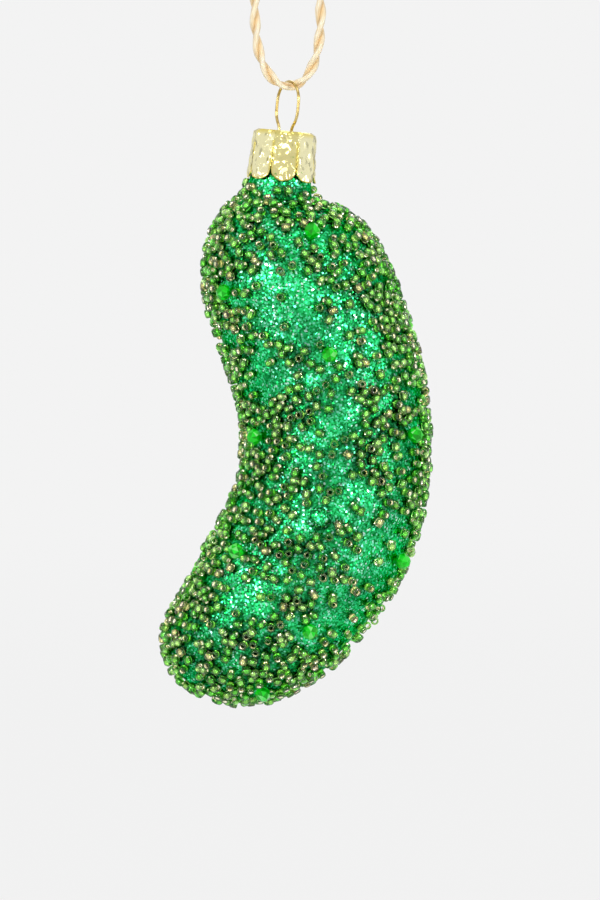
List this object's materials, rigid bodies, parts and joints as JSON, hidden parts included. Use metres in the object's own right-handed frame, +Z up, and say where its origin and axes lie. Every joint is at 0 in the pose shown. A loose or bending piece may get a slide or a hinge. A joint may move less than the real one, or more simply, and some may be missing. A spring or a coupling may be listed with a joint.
{
  "type": "pickle ornament",
  "caption": "Hanging glass pickle ornament, curved and beaded, with a petalled gold cap, a sprung wire ring and a twine loop.",
  "frame": {"origin": "the hang point: the inside top of the cord loop, where its two strands meet under the knot", "axes": "+Z up along the hanging ornament's length, +X to the right as pictured, -Y to the front"},
  "size_m": [0.0554, 0.0415, 0.1929],
  "materials": {
    "twine": "two-ply twisted twine, pale straw",
    "gold_wire": "bright gold wire",
    "gold_foil": "crinkled pale gold foil",
    "glitter_glass": "green glitter coat on glass",
    "seed_glass": "lime glass with a pale gold lining",
    "accent_glass": "faceted emerald glass"
  },
  "bodies": {
    "cord": {"cord_loop": "twine", "cord_knot": "twine", "cord_tail_left": "twine", "cord_tail_right": "twine"},
    "hanger": {"hanger_wire": "gold_wire"},
    "cap": {"crown_cap": "gold_foil"},
    "glass": {"glass_body": "glitter_glass", "accent_bead_01": "accent_glass", "accent_bead_02": "accent_glass", "accent_bead_03": "accent_glass", "accent_bead_04": "accent_glass", "accent_bead_05": "accent_glass", "accent_bead_06": "accent_glass", "accent_bead_07": "accent_glass", "accent_bead_08": "accent_glass", "accent_bead_09": "accent_glass", "accent_bead_10": "accent_glass", "accent_bead_11": "accent_glass", "accent_bead_12": "accent_glass", "accent_bead_13": "accent_glass", "accent_bead_14": "accent_glass", "accent_bead_15": "accent_glass", "accent_bead_16": "accent_glass", "accent_bead_17": "accent_glass", "accent_bead_18": "accent_glass", "accent_bead_19": "accent_glass", "accent_bead_20": "accent_glass", "accent_bead_21": "accent_glass", "seed_beads_lower_back": "seed_glass", "seed_beads_lower_front": "seed_glass", "seed_beads_lower_left": "seed_glass", "seed_beads_lower_right": "seed_glass", "seed_beads_shoulder_back": "seed_glass", "seed_beads_shoulder_front": "seed_glass", "seed_beads_shoulder_left": "seed_glass", "seed_beads_shoulder_right": "seed_glass", "seed_beads_tip_back": "seed_glass", "seed_beads_tip_front": "seed_glass", "seed_beads_tip_left": "seed_glass", "seed_beads_tip_right": "seed_glass", "seed_beads_upper_back": "seed_glass", "seed_beads_upper_front": "seed_glass", "seed_beads_upper_left": "seed_glass", "seed_beads_upper_right": "seed_glass"}
  },
  "joints": [
    {"name": "ring_swing", "type": "hinge", "parent": "cord", "child": "hanger", "pos_m": [0, 0, -0.0494], "axis": [1, 0, 0], "range_deg": [-80, 80]},
    {"name": "hanger_draw", "type": "slide", "parent": "hanger", "child": "cap", "axis": [-0.0958, 0, -0.9954], "range_m": [0, 0.006]},
    {"name": "cap_pull", "type": "slide", "parent": "cap", "child": "glass", "axis": [-0.0958, 0, -0.9954], "range_m": [0, 0.026]}
  ]
}
